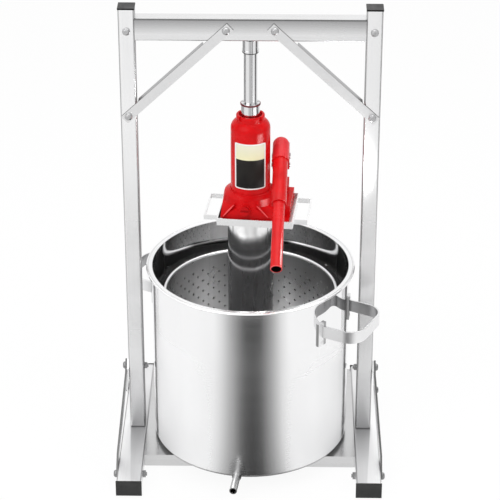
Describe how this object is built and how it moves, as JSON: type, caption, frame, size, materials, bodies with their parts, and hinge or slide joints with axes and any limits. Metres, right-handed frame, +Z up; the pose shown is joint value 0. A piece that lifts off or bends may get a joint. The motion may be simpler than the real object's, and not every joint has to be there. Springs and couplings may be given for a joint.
{
  "type": "hydraulic fruit press",
  "caption": "Tube frame in which a hand-pumped bottle jack pushes a plate down into a perforated basket that stands in a stock pot with a juice spout.",
  "frame": {"origin": "on the floor, on the press axis midway between the posts", "axes": "+Z up along the press axis, -Y towards the front where the spout and the lever point, +X to the viewer's right"},
  "size_m": [0.4418, 0.3942, 0.776],
  "materials": {
    "frame_steel": "satin silver",
    "black_plastic": "matte",
    "plated_steel": "zinc plated",
    "polished_steel": "mirror polished",
    "basket_steel": "polished, perforated",
    "tray_steel": "polished",
    "red_paint": "gloss red",
    "label": "plain label",
    "rubber": "dark rubber",
    "ram_chrome": "ground and plated"
  },
  "bodies": {
    "frame": {"left_foot": "frame_steel", "right_foot": "frame_steel", "foot_caps": "black_plastic", "left_post": "frame_steel", "right_post": "frame_steel", "post_caps": "black_plastic", "top_beam": "frame_steel", "beam_straps": "frame_steel", "left_knee_brace": "frame_steel", "right_knee_brace": "frame_steel", "knee_brace_bolts": "plated_steel", "knee_brace_nuts": "plated_steel", "beam_bolts": "plated_steel", "beam_nuts": "plated_steel", "left_front_brace": "frame_steel", "right_front_brace": "frame_steel", "left_rear_brace": "frame_steel", "right_rear_brace": "frame_steel", "foot_brace_bolts": "plated_steel", "foot_brace_nuts": "plated_steel", "base_plate": "frame_steel", "jack_socket": "plated_steel", "pot": "polished_steel", "pot_spout": "polished_steel", "right_pot_handle": "polished_steel", "left_pot_handle": "polished_steel", "basket": "basket_steel"},
    "press_stack": {"press_plate": "basket_steel", "press_column": "polished_steel", "jack_tray": "tray_steel", "tray_handles": "tray_steel", "jack_base": "red_paint", "jack_tank": "red_paint", "tank_label": "label", "pressure_cylinder": "plated_steel", "gland_nut": "red_paint", "filler_plug": "rubber", "pump_cylinder": "red_paint", "pump_bracket": "red_paint"},
    "ram": {"ram": "ram_chrome", "ram_wiper": "rubber"},
    "ram_extension": {"extension_rod": "ram_chrome"},
    "lever": {"handle_socket": "red_paint", "lever_pins": "plated_steel", "lever_upper": "red_paint", "lever_lower": "red_paint"},
    "pump_plunger": {"pump_plunger": "plated_steel"},
    "release_valve": {"release_valve": "red_paint"}
  },
  "joints": [
    {"name": "press_slide", "type": "slide", "parent": "frame", "child": "press_stack", "axis": [0, 0, 1], "range_m": [-0.095, 0.014]},
    {"name": "ram_slide", "type": "slide", "parent": "press_stack", "child": "ram", "axis": [0, 0, 1], "range_m": [-0.014, 0.095]},
    {"name": "rod_slide", "type": "slide", "parent": "ram", "child": "ram_extension", "axis": [0, 0, 1], "range_m": [-0.08, 0]},
    {"name": "lever_hinge", "type": "hinge", "parent": "press_stack", "child": "lever", "pos_m": [0.04838, 0.03349, 0.51], "axis": [-0.9996, 0.0279, 0], "range_deg": [0, 55]},
    {"name": "plunger_slide", "type": "slide", "parent": "press_stack", "child": "pump_plunger", "axis": [0, 0, 1], "range_m": [0, 0.0168]},
    {"name": "valve_turn", "type": "hinge", "parent": "press_stack", "child": "release_valve", "pos_m": [-0.0076, -0.04365, 0.45148], "axis": [-0.1006, -0.9574, 0.2707], "range_deg": [0, 150]}
  ],
  "couplings": [
    {"joint": "ram_slide", "follows": "press_slide", "ratio": -1},
    {"joint": "plunger_slide", "follows": "lever_hinge", "m_per_rad": 0.017316}
  ]
}
